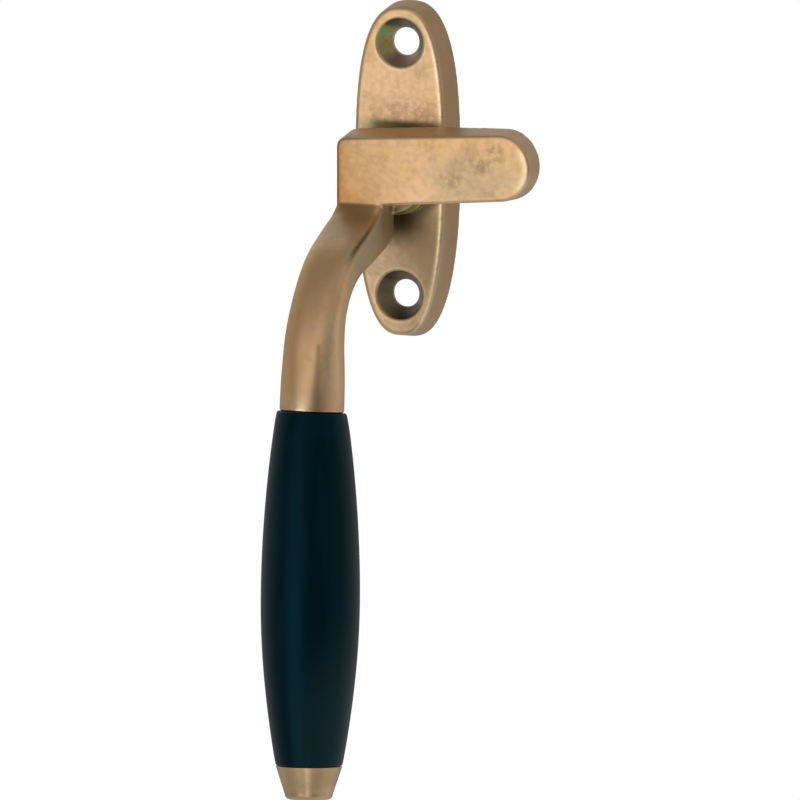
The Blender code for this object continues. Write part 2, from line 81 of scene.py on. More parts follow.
# Hub
BOSS_RADIUS = 8.4 * MM
BOSS_TOP = 7.9 * MM
WELL_RADIUS = 7.4 * MM
WELL_FLOOR = 5.2 * MM
FLANGE_RADIUS = 6.9 * MM
FLANGE_THICKNESS = 0.7 * MM
SLEEVE_RADIUS = 5.2 * MM
WASHER_THICKNESS = 0.9 * MM
WASHER_RADIUS = 8.6 * MM
LEVER_BOSS_RADIUS = 8.0 * MM
PIN_RADIUS = 4.0 * MM
PIN_TOP = 16.6 * MM
PIN_END = 0.3 * MM
GROOVE_DEPTH = 0.8 * MM
WAVE_HEIGHT = 0.35 * MM
WAVE_COUNT = 3
WAVE_THICKNESS = 0.4 * MM
STACK_GAP = 0.1 * MM                # between the wave washer, the rear washer and the ring
REAR_WASHER_THICKNESS = 0.7 * MM
REAR_WASHER_RADIUS = 6.9 * MM
RING_THICKNESS = 0.5 * MM
RING_RADIUS = 5.4 * MM
RING_OPENING = radians(50.0)
STOP_RADIUS = 0.6 * MM
STOP_REACH = 6.5 * MM
STOP_ANGLE = radians(45.0)
STOP_SINK = 1.6 * MM
STOP_RISE = 1.1 * MM
STOP_SWEEP = radians(90.0)

# Lever
HEAD_BACK = 12.0 * MM
HEAD_FRONT = 19.6 * MM
NOSE_CENTRE = Vector((26.9, 3.3)) * MM
NOSE_RADIUS = 6.85 * MM
HEAD_TOP_CORNER = Vector((-7.0, 6.3)) * MM
HEAD_TOP_RADIUS = 1.9 * MM
HEAD_LOW_CORNER = Vector((-8.2, -5.7)) * MM
HEAD_LOW_RADIUS = 0.7 * MM
HEAD_DRAFT = 0.7 * MM
HEAD_SHIFT = Vector((0.15, 0.5)) * MM
HEAD_EDGE = 0.6 * MM
WEDGE_START = 10.0 * MM
WEDGE_RISE = 2.8 * MM
WEDGE_END = 34.0 * MM
NECK_X = -4.0 * MM
NECK_END_X = -3.4 * MM
NECK_SLOPE = radians(20.0)
NECK_BEND_START = Vector((30.0, -14.9)) * MM
NECK_BEND_RADIUS = 22.0 * MM
NECK_END_SLOPE = radians(83.0)
NECK_BEND_LENGTH = (NECK_END_SLOPE - NECK_SLOPE) * NECK_BEND_RADIUS
NECK_END_UP = -44.8 * MM
NECK_ROOT_LENGTH = 18.5 * MM
NECK_END_RADIUS = 6.6 * MM

# Grip
GRIP_LEAN = radians(2.35)
GRIP_TILT = radians(7.0)
GRIP_LENGTH = 71.3 * MM
GRIP_TOP_RADIUS = 7.15 * MM
GRIP_BELLY_RADIUS = 10.1 * MM
GRIP_END_RADIUS = 6.85 * MM
GRIP_BELLY = 0.53
GRIP_UPPER_FULLNESS = 0.82
GRIP_LOWER_FULLNESS = 0.9
GRIP_SHOULDER = 0.4 * MM
STUD_RADIUS = 3.0 * MM
STUD_IN_NECK = 9.0 * MM
FERRULE_LENGTH = 6.9 * MM
FERRULE_TOP_RADIUS = 6.75 * MM
FERRULE_END_RADIUS = 4.9 * MM
FERRULE_EDGE = 1.1 * MM
FERRULE_FLOOR = 2.2 * MM
CENTRE_HOLE = 0.2 * MM              # left by the lathing of the ferrule's floor, and closed again
LOCK_WASHER_RADIUS = 5.3 * MM
LOCK_WASHER_THICKNESS = 0.9 * MM

SHADE_LINE = 9.9                    # height in millimetres of the painted shade line above the head
BACK_EDGE = 0.25 * MM               # rounding of the castings' back edges
SEAT = 0.05 * MM                    # the grip looks seated against the neck and the ferrule
FINE = 96                           # facets of a visible round piece
COARSE = 48                         # facets of a small or hidden one
OUTLINE_STEPS = 240                 # points round the base plate
PLATE_VOXEL = 0.22 * MM             # grain of the cast plate's skin
LEVER_VOXEL = 0.24 * MM             # grain of the cast lever's skin


# ---------------------------------------------------------------- mesh helpers

def circle(radius, height, steps):
    return [(radius * cos(TURN * i / steps), radius * sin(TURN * i / steps), height)
            for i in range(steps)]


def loft(rings):
    """Skin over rings of equally many points, closed at both ends."""
    build = bmesh.new()
    loops = [[build.verts.new(point) for point in ring] for ring in rings]
    for low, high in zip(loops, loops[1:]):
        for index in range(len(low)):
            following = (index + 1) % len(low)
            build.faces.new((low[index], low[following], high[following], high[index]))
    build.faces.new(loops[0])
    build.faces.new(loops[-1])
    return build


def lathe(profile, steps):
    """Turn a closed (radius, z) profile about the z axis."""
    build = bmesh.new()
    rings = [[build.verts.new(point) for point in circle(radius, height, steps)]
             for radius, height in profile]
    for here, there in zip(rings, rings[1:] + rings[:1]):
        for i in range(steps):
            following = (i + 1) % steps
            build.faces.new((here[i], here[following], there[following], there[i]))
    return build


def turned_bar(profile, steps):
    """Solid bar turned about the z axis from an open (radius, z) profile."""
    return loft([circle(radius, height, steps) for radius, height in profile])


def rounded(profile, radius, steps=4):
    """Round the corners of a closed (radius, z) profile."""
    points = [Vector(point) for point in profile]
    result = []
    for index, corner in enumerate(points):
        before = points[index - 1] - corner
        after = points[(index + 1) % len(points)] - corner
        cut = min(radius, before.length * 0.45, after.length * 0.45)
        first = corner + before.normalized() * cut
        last = corner + after.normalized() * cut
        for i in range(steps + 1):
            t = i / steps
            result.append(first * (1 - t) ** 2 + corner * 2 * t * (1 - t) + last * t ** 2)
    return [tuple(point) for point in result]


def washer_profile(inner, outer, low, high, corner, steps=4):
    return rounded([(inner, low), (outer, low), (outer, high), (inner, high)], corner, steps)


def signed_power(value, power):
    return copysign(abs(value) ** power, value)


def arc(centre, radius, start, end, steps):
    return [Vector((centre[0] + radius * cos(start + (end - start) * i / steps),
                    centre[1] + radius * sin(start + (end - start) * i / steps)))
            for i in range(steps + 1)]


def belt(circles, steps):
    """Convex outline drawn round circles (centre, radius) taken counter-clockwise."""
    normals = []
    for (centre, radius), (target, target_radius) in zip(circles, circles[1:] + circles[:1]):
        run = target - centre
        normals.append(atan2(run.y, run.x) - pi / 2
                       + asin((radius - target_radius) / hypot(run.x, run.y)))
    outline = []
    for index, (centre, radius) in enumerate(circles):
        start = normals[index - 1]
        end = normals[index]
        while end < start:
            end += TURN
        outline += arc(centre, radius, start, end, steps[index])
    return outline


def raise_ring(outline, height):
    return [(point.x, point.y, height) for point in outline]


def edge_levels(top, radius, steps):
    """(height, inset) up a rounded edge."""
    return [(top - radius + radius * sin(pi / 2 * i / steps),
             radius - radius * cos(pi / 2 * i / steps)) for i in range(steps + 1)]


def make_object(name, build, place=UPRIGHT):
    bmesh.ops.recalc_face_normals(build, faces=build.faces)
    build.transform(place)
    mesh = bpy.data.meshes.new(name)
    build.to_mesh(mesh)
    build.free()
    piece = bpy.data.objects.new(name, mesh)
    bpy.context.scene.collection.objects.link(piece)
    return piece


def bake_modifiers(piece):
    """Swap the piece's mesh for what its modifiers make of it."""
    bpy.context.view_layer.update()
    graph = bpy.context.evaluated_depsgraph_get()
    mesh = bpy.data.meshes.new_from_object(piece.evaluated_get(graph))
    old = piece.data
    piece.modifiers.clear()
    piece.data = mesh
    bpy.data.meshes.remove(old)


def combine(piece, operation, guides):
    """Boolean with each guide in turn; the guides are used up."""
    for guide in guides:
        modifier = piece.modifiers.new(guide.name, "BOOLEAN")
        modifier.object = guide
        modifier.operation = operation
        modifier.solver = "EXACT"
    bake_modifiers(piece)
    for guide in guides:
        bpy.data.objects.remove(guide, do_unlink=True)


def tumble(piece, voxel, rounds):
    """One even skin over a casting, with every edge and corner tumbled a little round."""
    skin = piece.modifiers.new("skin", "REMESH")
    skin.mode = "VOXEL"
    skin.voxel_size = voxel
    wear = piece.modifiers.new("wear", "SMOOTH")
    wear.factor = 0.5
    wear.iterations = rounds
    bake_modifiers(piece)


def paint(piece, name, shade):
    """Paint a value on each point; shade takes the face-on place in millimetres, and the normal."""
    layer = piece.data.attributes.new(name, "FLOAT", "POINT")
    for vertex, entry in zip(piece.data.vertices, layer.data):
        x, y, z = vertex.co.x / MM, vertex.co.z / MM, -vertex.co.y / MM
        normal = Vector((vertex.normal.x, vertex.normal.z, -vertex.normal.y))
        entry.value = shade(x, y, z, normal)


def fade(value, start, end):
    """0 at start, 1 at end and smooth between; end may be the lower one."""
    t = min(max((value - start) / (end - start), 0.0), 1.0)
    return t * t * (3.0 - 2.0 * t)


def ridge(distance, width):
    """1 on a line, falling off within about the width on both sides."""
    return exp(-(distance / width) ** 2)


def from_segment(x, y, start, end):
    """Distance of (x, y) from a segment, and the share of the way along it."""
    run = Vector(end) - Vector(start)
    offset = Vector((x, y)) - Vector(start)
    share = min(max(offset.dot(run) / run.length_squared, 0.0), 1.0)
    return (offset - run * share).length, share


def finish_piece(piece, body, node, material, smooth_angle=None):
    """Give a piece its material, shading and body, and let it stand in for its CAD node."""
    piece.data.materials.clear()
    piece.data.materials.append(material)
    piece.data.shade_smooth()
    if smooth_angle is not None:
        piece.data.set_sharp_from_angle(angle=smooth_angle)
    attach(piece, body)
    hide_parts(node)


# ---------------------------------------------------------------- materials

# Bronze tones, from a clean face to the dark tone of painted shade in the corners
CLEAN = (0.84, 0.54, 0.30)
GOLD = (0.80, 0.50, 0.24)
PINKISH = (0.80, 0.50, 0.31)
DULL = (0.54, 0.38, 0.21)
# Bright tone of wear and of painted highlights
WEAR_AND_HIGHLIGHT = (1.0, 0.81, 0.51)
CAST_SKIN = (0.41, 0.265, 0.145)
OLIVE = (0.47, 0.40, 0.21)
BROWN = (0.38, 0.24, 0.13)
FERRULE_TONE = (0.62, 0.44, 0.25)
# Dark tone of the painted shade round the hub, under the head and along the neck
SHADE_TONE = (0.11, 0.085, 0.045)
OLIVE_SHADE = (0.12, 0.105, 0.04)
GREY_STAIN = (0.56, 0.43, 0.26)
# Greyer, darker tan of the painted shade on the plate's lower part, under the lever
SHADED_TAN = (0.51, 0.415, 0.27)
OLIVE_GREY = (0.45, 0.38, 0.26)
ORANGE = (0.72, 0.37, 0.13)
RUST_ORANGE = (0.56, 0.26, 0.09)
ORANGE_BROWN = (0.62, 0.36, 0.155)
SOCKET = (0.66, 0.58, 0.39)
SOCKET_BROWN = (0.40, 0.35, 0.25)
SOCKET_GREEN = (0.42, 0.85, 0.40)
SOCKET_YELLOW = (0.75, 0.72, 0.26)
SOCKET_PURPLE = (0.50, 0.32, 0.30)
SOCKET_RED = (0.16, 0.075, 0.04)
# Dark tone of the painted shade inside the countersinks
SOCKET_SHADE = (0.07, 0.06, 0.035)

WIDE = 1000.0                       # radius of a stain with no limit that way
SHARP = 0.03                        # edge softness of a stain with a crisp limit
SOCKET_RADII = Vector((5.1, WIDE, 5.1)) * MM
FRONT_CENTRE = Vector((0.0, -8.0, 0.0)) * MM     # the slab that holds the countersinks
FRONT_RADII = Vector((WIDE, 5.2, WIDE)) * MM

# Stains and painted shade: (centre, radii, edge softness, raggedness, tone, amount), in upright
# millimetres
PLATE_STAINS_AND_SHADE = (
    ((0, 0, 0), (WIDE, 6.35, WIDE), SHARP, 0, CAST_SKIN, 0.75),
    # Painted shade round the hub, where the head and the neck shade the plate
    ((0, -6.8, 0), (10.6, 3.0, 10.4), 0.10, 0, SHADE_TONE, 0.9),
    ((-6, -6.8, 8.5), (6.0, 3.0, 2.6), 0.3, 0, OLIVE, 0.6),
    ((1, -6.8, 12), (8.0, 3.0, 3.5), 0.6, 700, BROWN, 0.5),
    # Painted shade on the plate below the hub, where the lever shades it
    ((1, -6.8, -17), (10.0, 3.0, 10.0), 0.4, 0, SHADED_TAN, 0.75),
    ((5, -6.8, -12), (4.5, 3.0, 6.5), 0.5, 500, OLIVE, 0.45),
    # Painted shade on the plate's lower end, under the lever
    ((1, -6.8, -34), (12.0, 3.0, 5.0), 0.5, 0, SHADED_TAN, 0.5),
    ((-0.5, -6.8, -9.6), (4.6, 3.0, 4.2), 0.8, 0, OLIVE_SHADE, 0.9),
)
# Countersinks: (height of the centre, tone, tint patches and painted shade inside)
PLATE_SOCKETS = (
    (UPPER_HOLE, SOCKET, (
        # Painted shade at the top and the right of the upper countersink
        ((0.5, -5, 31.0), (4.4, WIDE, 1.8), 0.4, 0, SOCKET_SHADE, 0.8),
        ((4.2, -5, 27.0), (1.5, WIDE, 4.0), 0.4, 0, SOCKET_SHADE, 0.6),
        ((-4.0, -5, 27.5), (2.2, WIDE, 3.4), 0.4, 1100, SOCKET_YELLOW, 0.7),
        ((-3.9, -5, 29.0), (0.8, WIDE, 1.3), 0.6, 0, SOCKET_GREEN, 0.9),
        ((0.5, -5, 22.6), (3.6, WIDE, 1.9), 0.4, 0, SOCKET_PURPLE, 0.9),
    )),
    (LOWER_HOLE, SOCKET_BROWN, (
        # Painted shade at the lower right of the lower countersink, and dark red-brown painted shade
        # at its top, where the red is the finish's tint
        ((2.0, -5, -29.6), (3.6, WIDE, 2.2), 0.4, 0, SOCKET_SHADE, 0.8),
        ((0.0, -5, -21.6), (4.4, WIDE, 1.7), 0.4, 0, SOCKET_RED, 0.8),
        ((-4.0, -5, -26.0), (1.8, WIDE, 3.0), 0.4, 0, SOCKET_BROWN, 0.8),
    )),
)
LEVER_STAINS_AND_SHADE = (
    ((0, -15.4, 0), (WIDE, 4.0, WIDE), SHARP, 0, OLIVE_GREY, 0.55),
    ((22.0, -19.6, 0.9), (7.8, 2.5, 3.6), 0.5, 0, GREY_STAIN, 0.5),
    ((20.0, -19.6, 1.5), (8.5, 2.5, 4.5), 0.4, 260, GREY_STAIN, 0.5),
    ((23.3, -19.6, 3.6), (2.2, 2.5, 1.6), 0.6, 900, BROWN, 0.5),
    ((26.5, -19.6, 6.4), (1.4, 2.5, 2.2), 0.6, 900, BROWN, 0.5),
    ((16.6, -19.6, 0.4), (2.4, 2.5, 1.4), 0.6, 900, BROWN, 0.45),
    ((-6.4, -19.6, 7.8), (4.2, 2.5, 2.2), 0.5, 400, OLIVE_GREY, 0.85),
    ((-9.0, -19.6, -1.0), (11.0, 2.5, 10.0), 0.6, 0, ORANGE_BROWN, 0.85),
    ((-7.5, -19.6, -5.3), (6.5, 2.5, 2.6), 0.6, 0, ORANGE, 0.85),
    ((-9.4, -19.6, -1.0), (2.4, 2.5, 9.5), 0.6, 0, RUST_ORANGE, 0.9),
    ((-8.2, -19.6, -5.8), (4.6, 2.5, 2.4), 0.6, 0, RUST_ORANGE, 0.9),
    # Painted shade, olive toned, on the neck's root under the head
    ((-4.0, -19.0, -8.5), (7.0, 5.0, 3.0), 0.8, 0, SHADE_TONE, 0.2),
    ((-4.0, -22.0, -10.5), (7.0, 7.0, 5.0), 0.8, 0, OLIVE, 0.75),
    ((-3.0, -27.0, -14.0), (9.0, 10.0, 7.5), 0.8, 0, OLIVE_GREY, 0.4),
    ((2.0, -30.0, -14.0), (2.5, 12.0, 7.0), 0.6, 0, GREY_STAIN, 0.6),
)

# Ebony, with a painted sheen that makes its lower right lighter
EBONY_DARK = (0.0, 0.0082, 0.0125)
EBONY_LIGHT = (0.0002, 0.0120, 0.0180)
EBONY_SHEEN = (0.12, 0.66, 1.0, 1.0)
PAINTED_SHEEN = (0.013, 0.032, 0.034)
SHEEN_CENTRE = Vector((6.0, -55.0, -110.0)) * MM
SHEEN_RADII = Vector((5.5, 12.0, 17.0)) * MM

FERRULE_POLISH = 0.10
# Hub and stud metals: two tones and a roughness
BRASS = ((0.78, 0.57, 0.24), (0.70, 0.49, 0.2), 0.3)
YELLOW_ZINC = ((0.56, 0.50, 0.18), (0.38, 0.40, 0.15), 0.3)
GROUND_STEEL = ((0.62, 0.62, 0.63), (0.52, 0.52, 0.53), 0.25)
OILED_STEEL = ((0.16, 0.16, 0.17), (0.10, 0.10, 0.11), 0.35)


class Nodes:
    """Short hand for building a material's node tree."""

    def __init__(self, name):
        self.material = bpy.data.materials.new(name)
        self.material.use_nodes = True
        self.tree = self.material.node_tree
        self.shader = self.tree.nodes["Principled BSDF"]
        self.place = self.tree.nodes.new("ShaderNodeTexCoord").outputs["Object"]

    def link(self, value, socket):
        if isinstance(value, bpy.types.NodeSocket):
            self.tree.links.new(value, socket)
        else:
            socket.default_value = value

    def noise(self, scale, detail, roughness, place=None, distortion=0.0):
        node = self.tree.nodes.new("ShaderNodeTexNoise")
        node.inputs["Scale"].default_value = scale
        node.inputs["Detail"].default_value = detail
        node.inputs["Roughness"].default_value = roughness
        node.inputs["Distortion"].default_value = distortion
        self.link(place or self.place, node.inputs["Vector"])
        return node.outputs["Fac"]

    def stretch(self, scale):
        node = self.tree.nodes.new("ShaderNodeMapping")
        node.inputs["Scale"].default_value = scale
        self.link(self.place, node.inputs["Vector"])
        return node.outputs["Vector"]

    def ramp(self, value, low, high, start=0.0, end=1.0):
        """start below low, end above high, and smooth between."""
        node = self.tree.nodes.new("ShaderNodeMapRange")
        node.interpolation_type = "SMOOTHSTEP"
        self.link(value, node.inputs["Value"])
        node.inputs["From Min"].default_value = low
        node.inputs["From Max"].default_value = high
        node.inputs["To Min"].default_value = start
        node.inputs["To Max"].default_value = end
        return node.outputs["Result"]

    def math(self, operation, first, second):
        node = self.tree.nodes.new("ShaderNodeMath")
        node.operation = operation
        self.link(first, node.inputs[0])
        self.link(second, node.inputs[1])
        return node.outputs["Value"]

    def mix(self, share, first, second):
        node = self.tree.nodes.new("ShaderNodeMix")
        node.data_type = "RGBA"
        self.link(share, node.inputs["Factor"])
        for value, socket in ((first, node.inputs["A"]), (second, node.inputs["B"])):
            self.link(value if isinstance(value, bpy.types.NodeSocket) else (*value, 1.0), socket)
        return node.outputs["Result"]

    def painted(self, name):
        """Value painted on the mesh's own points; 0 where a mesh has none."""
        node = self.tree.nodes.new("ShaderNodeAttribute")
        node.attribute_name = name
        return node.outputs["Fac"]

    def spot(self, centre, radii, edge):
        """1 inside a soft ellipsoid about a point on the object, 0 outside."""
        node = self.tree.nodes.new("ShaderNodeVectorMath")
        node.operation = "SUBTRACT"
        self.link(self.place, node.inputs[0])
        node.inputs[1].default_value = centre
        scaled = self.tree.nodes.new("ShaderNodeVectorMath")
        scaled.operation = "DIVIDE"
        self.link(node.outputs["Vector"], scaled.inputs[0])
        scaled.inputs[1].default_value = radii
        length = self.tree.nodes.new("ShaderNodeVectorMath")
        length.operation = "LENGTH"
        self.link(scaled.outputs["Vector"], length.inputs[0])
        return self.ramp(length.outputs["Value"], 1.0 - edge, 1.0 + edge, 1.0, 0.0)

    def stain(self, colour, stains_and_shade):
        """Lay patches over a colour, each a soft or ragged ellipsoid of another tone; a patch is a
        stain or painted shade.

        A patch is (centre, radii, edge softness, raggedness, tone, amount), in millimetres.
        """
        for centre, radii, edge, ragged, tone, amount in stains_and_shade:
            share = self.spot(Vector(centre) * MM, Vector(radii) * MM, edge)
            if ragged:
                tatter = self.ramp(self.noise(ragged, 5.0, 0.65), 0.34, 0.58)
                share = self.math("MULTIPLY", share, tatter)
            colour = self.mix(self.math("MULTIPLY", share, amount), colour, tone)
        return colour

    def bump(self, height, distance, strength, normal=None):
        node = self.tree.nodes.new("ShaderNodeBump")
        node.inputs["Distance"].default_value = distance
        node.inputs["Strength"].default_value = strength
        self.link(height, node.inputs["Height"])
        if normal is not None:
            self.link(normal, node.inputs["Normal"])
        return node.outputs["Normal"]


def make_bronze(name, pale, warm, stains_and_shade=(), sockets=(), polish=0.0):
    """Tumbled cast bronze: soft tone clouds, fine mottle, patina patches, painted shade, and brighter
    edges and spots, partly wear and partly painted highlights.

    Polish is how much smoother than the tumbled skin the metal is.
    """
    n = Nodes(name)
    cloud = n.noise(70.0, 2.0, 0.5)
    blotch = n.noise(240.0, 4.0, 0.6)
    mottle = n.noise(900.0, 4.0, 0.6)
    grain = n.noise(3400.0, 2.0, 0.6)
    blush = n.noise(120.0, 3.0, 0.5, distortion=0.5)
    colour = n.mix(n.ramp(cloud, 0.40, 0.60), pale, warm)
    colour = n.mix(n.ramp(blush, 0.45, 0.70, 0.0, 0.5), colour, PINKISH)
    colour = n.mix(n.ramp(blotch, 0.50, 0.75, 0.0, 0.30), colour, DULL)
    colour = n.mix(n.ramp(mottle, 0.55, 0.80, 0.0, 0.22), colour, DULL)
    colour = n.stain(colour, stains_and_shade)
    # Painted shade and a painted dark reflection: a dark tone where they are painted on the mesh
    painted_shade = n.math("MULTIPLY", n.painted("painted_shade"), n.ramp(mottle, 0.3, 0.5, 0.75, 1.0))
    colour = n.mix(painted_shade, colour, SHADE_TONE)
    # Wear and painted highlights: a bright tone where they are painted on the mesh
    wear_and_highlight = n.math("MULTIPLY", n.painted("wear_and_highlight"), n.ramp(mottle, 0.34, 0.54, 0.45, 1.0))
    colour = n.mix(wear_and_highlight, colour, WEAR_AND_HIGHLIGHT)
    for height, tone, tints_and_shade in sockets:
        inside = n.spot(Vector((0.0, 0.0, height)), SOCKET_RADII, SHARP)
        inside = n.math("MULTIPLY", inside, n.spot(FRONT_CENTRE, FRONT_RADII, SHARP))
        darker = [part * 0.7 for part in tone]
        base = n.mix(n.ramp(blotch, 0.4, 0.7), tone, darker)
        colour = n.mix(inside, colour, n.stain(base, tints_and_shade))
    n.link(colour, n.shader.inputs["Base Color"])
    n.shader.inputs["Metallic"].default_value = 1.0
    rough = n.ramp(mottle, 0.3, 0.7, 0.34 - polish, 0.42 - polish)
    rough = n.math("ADD", rough, n.ramp(blotch, 0.45, 0.75, 0.0, 0.08))
    rough = n.math("SUBTRACT", rough, n.math("MULTIPLY", wear_and_highlight, 0.08))
    n.link(rough, n.shader.inputs["Roughness"])
    waves = n.bump(cloud, 0.5 * MM, 0.15)
    hammer = n.bump(blotch, 0.10 * MM, 0.16 - polish, waves)
    skin = n.bump(grain, 0.05 * MM, 0.18 - polish, hammer)
    n.link(skin, n.shader.inputs["Normal"])
    return n.material


def make_ebony():
    """Oiled ebony: nearly black with a blue-green cast, long grain, fine pores and a satin sheen."""
    n = Nodes("ebony_satin")
    streak = n.noise(1.0, 6.0, 0.6, place=n.stretch((260.0, 260.0, 9.0)))
    pores = n.noise(1.0, 2.0, 0.5, place=n.stretch((2400.0, 2400.0, 90.0)))
    colour = n.mix(n.ramp(streak, 0.40, 0.68), EBONY_DARK, EBONY_LIGHT)
    # Painted sheen: lighter towards the grip's lower right
    sheen_share = n.math("MULTIPLY", n.spot(SHEEN_CENTRE, SHEEN_RADII, 0.7), 0.8)
    colour = n.mix(sheen_share, colour, PAINTED_SHEEN)
    n.link(colour, n.shader.inputs["Base Color"])
    n.link(n.ramp(streak, 0.3, 0.7, 0.30, 0.36), n.shader.inputs["Roughness"])
    n.shader.inputs["Specular IOR Level"].default_value = 0.22
    n.shader.inputs["Specular Tint"].default_value = EBONY_SHEEN
    n.link(n.bump(pores, 0.03 * MM, 0.3), n.shader.inputs["Normal"])
    return n.material


def make_metal(name, colour, tint, roughness):
    """Turned or stamped metal: fine grain and faint tone changes."""
    n = Nodes(name)
    grain = n.noise(900.0, 4.0, 0.6)
    cloud = n.noise(220.0, 4.0, 0.6)
    n.link(n.mix(n.ramp(cloud, 0.35, 0.65), colour, tint), n.shader.inputs["Base Color"])
    n.shader.inputs["Metallic"].default_value = 1.0
    rough = n.ramp(grain, 0.3, 0.7, roughness * 0.8, roughness * 1.25)
    n.link(rough, n.shader.inputs["Roughness"])
    n.link(n.bump(grain, 0.02 * MM, 0.3), n.shader.inputs["Normal"])
    return n.material


# ---------------------------------------------------------------- base plate and hub

def plate_outline(inset):
    """Long rounded outline, slimmer towards its lower end."""
    outline = []
    for i in range(OUTLINE_STEPS):
        angle = TURN * i / OUTLINE_STEPS
        lengthwise = PLATE_UPPER_POWER if sin(angle) > 0 else PLATE_LOWER_POWER
        outline.append(Vector((
            (PLATE_HALF_WIDTH - inset) * signed_power(cos(angle), 2 / PLATE_ROUND_POWER),
            (PLATE_HALF_HEIGHT - inset) * signed_power(sin(angle), 2 / lengthwise))))
    return outline


def stop_place():
    """Foot of the stop pin, face on."""
    return (STOP_REACH * cos(STOP_ANGLE), STOP_REACH * sin(STOP_ANGLE), 0.0)


def plate_painted_shade(x, y, z, normal):
    """Painted shade: a dark line across the plate just above the head, in the gap between head and
    plate.
    """
    across = fade(x, -7.0, -4.5) * fade(x, 8.5, 7.0)
    return 0.66 * ridge(y - SHADE_LINE, 0.7) * across * fade(z, 5.5, 6.5)


def plate_wear_and_highlight(x, y, z, normal):
    """Wear and painted highlight together: a bright line on the right front edge, faint elsewhere, and
    bright rims of the countersinks.
    """
    inset = (PLATE_DRAFT + 0.5 * PLATE_EDGE) / MM
    lengthwise = PLATE_UPPER_POWER if y > 0 else PLATE_LOWER_POWER
    wide = PLATE_HALF_WIDTH / MM - inset
    high = PLATE_HALF_HEIGHT / MM - inset
    level = abs(x / wide) ** PLATE_ROUND_POWER + abs(y / high) ** lengthwise
    slope = hypot(PLATE_ROUND_POWER * abs(x / wide) ** (PLATE_ROUND_POWER - 1) / wide,
                  lengthwise * abs(y / high) ** (lengthwise - 1) / high)
    from_edge = (level - 1.0) / max(slope, 0.01)
    # Brightest along the right side, where a painted highlight lies on top of the wear
    along = fade(x, 1.0, 5.0) * (fade(y, 33.0, 24.0) if y > 0 else 1.0)
    line = ridge(from_edge + 0.3, 0.55) * (0.15 + 0.85 * along)
    rim = COUNTERSINK_RADIUS / MM + 0.35
    rims = max(ridge(hypot(x, y - height / MM) - rim, 0.3) for height in (UPPER_HOLE, LOWER_HOLE))
    return fade(z, 5.2, 6.0) * fade(normal.z, 0.3, 0.6) * max(line, 0.3 * rims)


def build_plate(material):
    rings = [raise_ring(plate_outline(BACK_EDGE), 0.0), raise_ring(plate_outline(0.0), BACK_EDGE)]
    wall_top = PLATE_DRAFT * (1.0 - PLATE_EDGE / PLATE_THICKNESS)
    for height, inset in edge_levels(PLATE_THICKNESS, PLATE_EDGE, 8):
        rings.append(raise_ring(plate_outline(wall_top + inset), height))
    plate = make_object("plate_casting", loft(rings))

    boss = turned_bar([(BOSS_RADIUS, PLATE_THICKNESS - MM), (BOSS_RADIUS, BOSS_TOP)], FINE)
    combine(plate, "UNION", [make_object("boss", boss)])

    cuts = [make_object("hollow", loft([raise_ring(plate_outline(PLATE_RIM), -MM),
                                        raise_ring(plate_outline(PLATE_RIM), PLATE_HOLLOW)]))]
    for name, radius, top in (("well", WELL_RADIUS, WELL_FLOOR),
                              ("bore", SLEEVE_RADIUS + GAP, BOSS_TOP + MM)):
        cuts.append(make_object(name, turned_bar([(radius, -MM), (radius, top)], FINE)))
    cone_foot = PLATE_THICKNESS - COUNTERSINK_DEPTH
    flare = (COUNTERSINK_RADIUS - SCREW_RADIUS) / COUNTERSINK_DEPTH
    for height in (UPPER_HOLE, LOWER_HOLE):
        screw = turned_bar([(SCREW_RADIUS, -MM), (SCREW_RADIUS, cone_foot),
                            (COUNTERSINK_RADIUS + flare * MM, PLATE_THICKNESS + MM)], FINE)
        screw.transform(Matrix.Translation((0.0, height, 0.0)))
        cuts.append(make_object("screw", screw))
    seat = turned_bar([(STOP_RADIUS + GAP, BOSS_TOP - STOP_SINK - GAP),
                       (STOP_RADIUS + GAP, BOSS_TOP + MM)], COARSE)
    seat.transform(Matrix.Translation(stop_place()))
    cuts.append(make_object("seat", seat))
    combine(plate, "DIFFERENCE", cuts)
    tumble(plate, PLATE_VOXEL, 9)
    # Wear and painted highlights on the plate's points
    paint(plate, "wear_and_highlight", plate_wear_and_highlight)
    # Painted shade on the plate's points
    paint(plate, "painted_shade", plate_painted_shade)
    finish_piece(plate, "plate", "base_plate", material)


def rear_stack():
    """z levels (low, high) of the wave washer, the rear washer and the retaining ring."""
    flange_low = WELL_FLOOR - GAP - FLANGE_THICKNESS
    wave_high = flange_low - GAP
    wave_low = wave_high - WAVE_THICKNESS - 2 * WAVE_HEIGHT
    washer_high = wave_low - STACK_GAP
    washer_low = washer_high - REAR_WASHER_THICKNESS
    ring_high = washer_low - STACK_GAP
    ring_low = ring_high - RING_THICKNESS
    return (wave_low, wave_high), (washer_low, washer_high), (ring_low, ring_high)


def build_bushing(material):
    inner = PIN_RADIUS + GAP
    flange_top = WELL_FLOOR - GAP
    flange_low = flange_top - FLANGE_THICKNESS
    profile = [(inner, flange_low), (FLANGE_RADIUS, flange_low), (FLANGE_RADIUS, flange_top),
               (SLEEVE_RADIUS, flange_top), (SLEEVE_RADIUS, BOSS_TOP), (inner, BOSS_TOP)]
    piece = make_object("bushing_brass", lathe(rounded(profile, 0.12 * MM), FINE))
    finish_piece(piece, "plate", "pivot_bushing", material)


